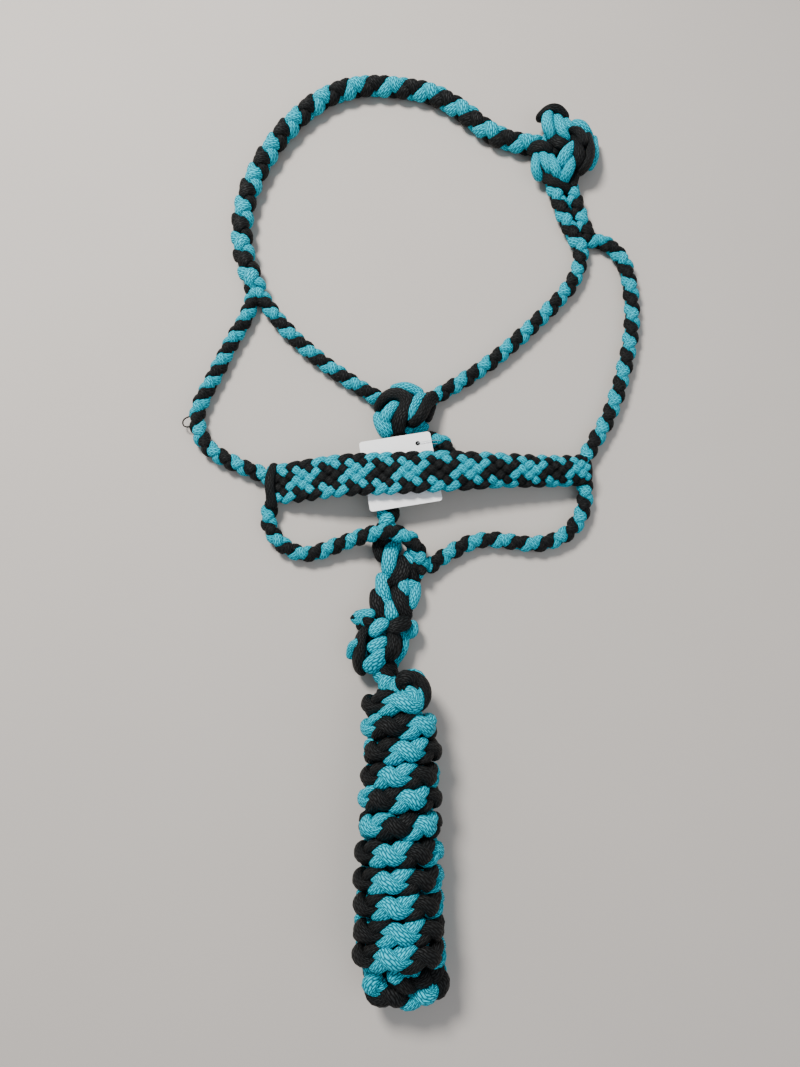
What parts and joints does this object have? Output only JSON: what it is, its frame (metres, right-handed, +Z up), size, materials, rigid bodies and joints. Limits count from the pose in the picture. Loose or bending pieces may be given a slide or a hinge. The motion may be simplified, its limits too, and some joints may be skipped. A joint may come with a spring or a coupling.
{
  "type": "rope halter",
  "caption": "Braided cord horse halter with crown tie, flat noseband, throat knot and a lead rope wound into a hank.",
  "frame": {"origin": "middle of the halter's own footprint on the ground, without the lead rope", "axes": "+Z up from the ground; +Y from the chin to the crown; +X towards the crown's tie knot"},
  "size_m": [0.4271, 0.8642, 0.0604],
  "materials": {
    "teal_cord": "braided polyester, soft sheen",
    "black_cord": "braided polyester, soft sheen",
    "tag_card": "coated white card",
    "tag_thread": "clear nylon"
  },
  "bodies": {
    "halter": {"crown_braid": "teal_cord", "tie_knot": "teal_cord", "tie_loop": "black_cord", "throatlatch_left": "teal_cord", "throatlatch_right": "teal_cord", "cheek_left": "black_cord", "cheek_right": "black_cord", "noseband": "black_cord", "chin_strap_left": "teal_cord", "chin_strap_right": "teal_cord", "throat_knot": "black_cord", "fiador_braid": "black_cord", "throat_bight": "teal_cord", "lead_loop": "teal_cord", "tag_thread": "tag_thread"},
    "hang_tag": {"hang_tag": "tag_card"},
    "lead_rope": {"lead_knot": "black_cord", "lead_tail": "teal_cord", "lead_neck": "teal_cord", "lead_hank": "teal_cord", "lead_hank_end": "teal_cord"}
  },
  "joints": [
    {"name": "lead_swing", "type": "hinge", "parent": "halter", "child": "lead_rope", "pos_m": [-0.023, -0.264, 0.0092], "axis": [0, 0, 1], "range_deg": [-45, 45]},
    {"name": "tag_turn", "type": "hinge", "parent": "halter", "child": "hang_tag", "pos_m": [-0.001, -0.1225, 0.02115], "axis": [0, 0, 1], "range_deg": [-2, 8]}
  ]
}
